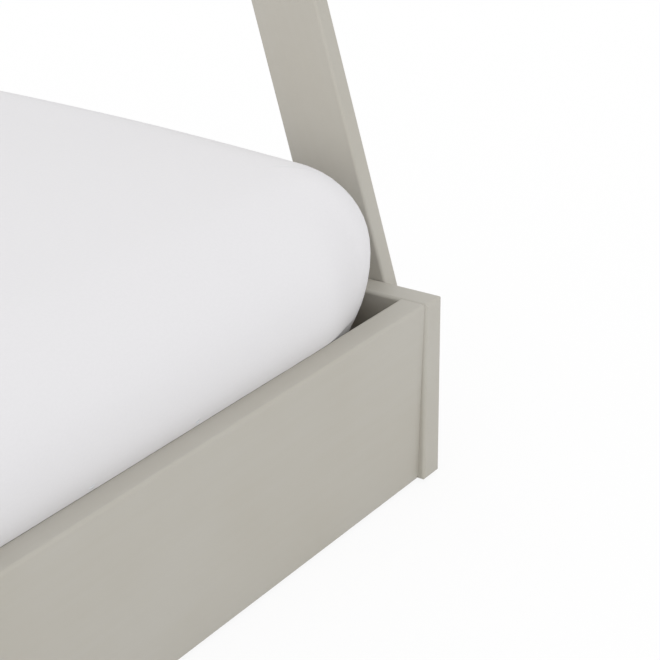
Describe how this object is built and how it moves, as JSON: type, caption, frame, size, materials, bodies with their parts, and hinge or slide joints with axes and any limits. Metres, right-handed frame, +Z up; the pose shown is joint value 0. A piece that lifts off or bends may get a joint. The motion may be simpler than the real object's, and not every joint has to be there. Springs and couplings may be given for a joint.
{
  "type": "junior bed",
  "caption": "Low junior bed in a tent form: boxed sides round a slatted deck, a crossed pair of slanted posts at each end, a ridge beam, and a deep mattress in a white fitted sheet.",
  "frame": {"origin": "on the floor, under the middle of the bed: the bottom centre of its bounding box", "axes": "+X along the bed from the head to the foot, +Y across the bed towards its left side, +Z up"},
  "size_m": [1.496, 0.763, 1.3447],
  "materials": {
    "mushroom_paint": "satin",
    "birch": "matte",
    "webbing": "matte",
    "zinc_steel": "satin",
    "nylon": "matte",
    "foam": "matte",
    "ticking": "matte",
    "white_cotton": "matte"
  },
  "bodies": {
    "bed_frame": {"head_end_board": "mushroom_paint", "foot_end_board": "mushroom_paint", "left_side_rail": "mushroom_paint", "right_side_rail": "mushroom_paint", "head_left_post": "mushroom_paint", "head_right_post": "mushroom_paint", "foot_left_post": "mushroom_paint", "foot_right_post": "mushroom_paint", "ridge_beam": "mushroom_paint", "left_slat_ledger": "birch", "right_slat_ledger": "birch", "slat_01": "birch", "slat_02": "birch", "slat_03": "birch", "slat_04": "birch", "slat_05": "birch", "slat_06": "birch", "slat_07": "birch", "slat_08": "birch", "slat_09": "birch", "slat_10": "birch", "slat_11": "birch", "slat_12": "birch", "slat_13": "birch", "rail_dowels": "birch", "left_slat_tape": "webbing", "right_slat_tape": "webbing", "tape_staples": "zinc_steel", "slat_screws": "zinc_steel", "ledger_screws": "zinc_steel", "rail_bolts": "zinc_steel", "rail_barrel_nuts": "zinc_steel", "post_bolts": "zinc_steel", "post_inserts": "zinc_steel", "ridge_bolts": "zinc_steel", "ridge_barrel_nuts": "zinc_steel", "floor_glides": "nylon"},
    "mattress": {"mattress_core": "foam", "mattress_cover": "ticking", "fitted_sheet": "white_cotton", "sheet_elastic": "white_cotton"}
  },
  "joints": [
    {"name": "mattress_lift", "type": "slide", "parent": "bed_frame", "child": "mattress", "axis": [0, 0, 1], "range_m": [0, 0.3]}
  ]
}
